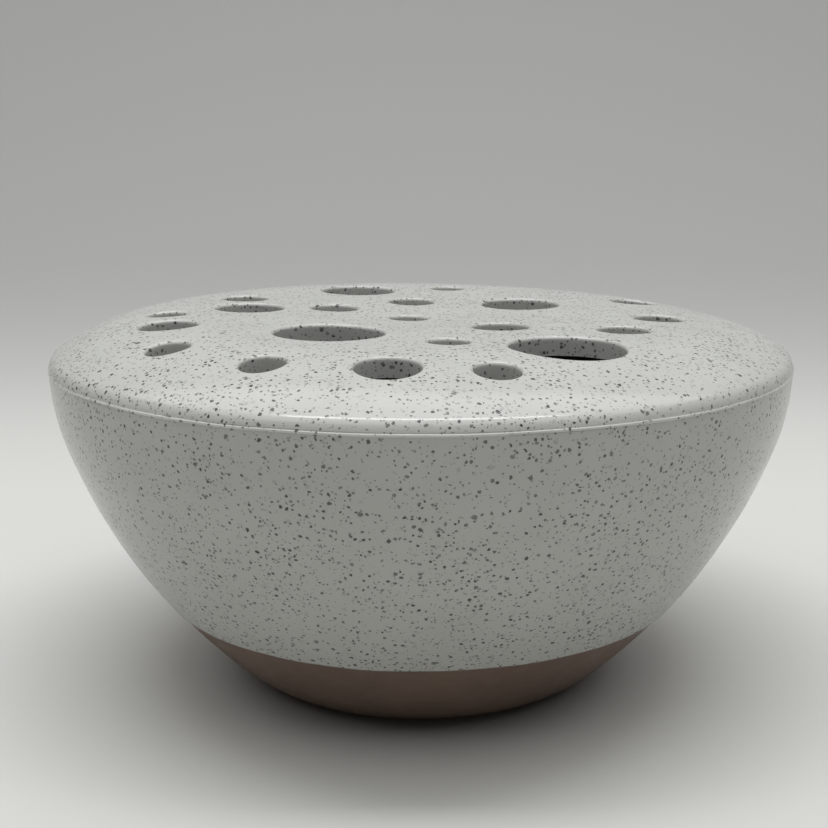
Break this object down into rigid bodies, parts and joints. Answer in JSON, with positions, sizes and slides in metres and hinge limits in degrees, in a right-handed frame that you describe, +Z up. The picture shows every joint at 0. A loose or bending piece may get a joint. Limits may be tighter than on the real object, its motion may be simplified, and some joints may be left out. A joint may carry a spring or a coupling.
{
  "type": "flower frog",
  "caption": "Closed stoneware vase with a flat top pierced by stem holes of several sizes; it holds cut flowers upright over water.",
  "frame": {"origin": "centre of the foot, on the table", "axes": "+Z up along the turning axis, +Y away from the pictured front, +X to its right"},
  "size_m": [0.1786, 0.1786, 0.0895],
  "materials": {
    "bare_clay": "satin",
    "covered_clay": "satin",
    "slip_line": "gloss",
    "wall_glaze": "gloss",
    "dome_glaze": "gloss",
    "hole_glaze": "gloss",
    "liner_glaze": "gloss"
  },
  "bodies": {
    "root": {"bowl": "bare_clay", "pierced_top": "covered_clay", "joining_slip": "slip_line", "bowl_glaze": "wall_glaze", "top_glaze": "dome_glaze", "hole_glaze": "hole_glaze", "inner_glaze": "liner_glaze"}
  },
  "joints": []
}
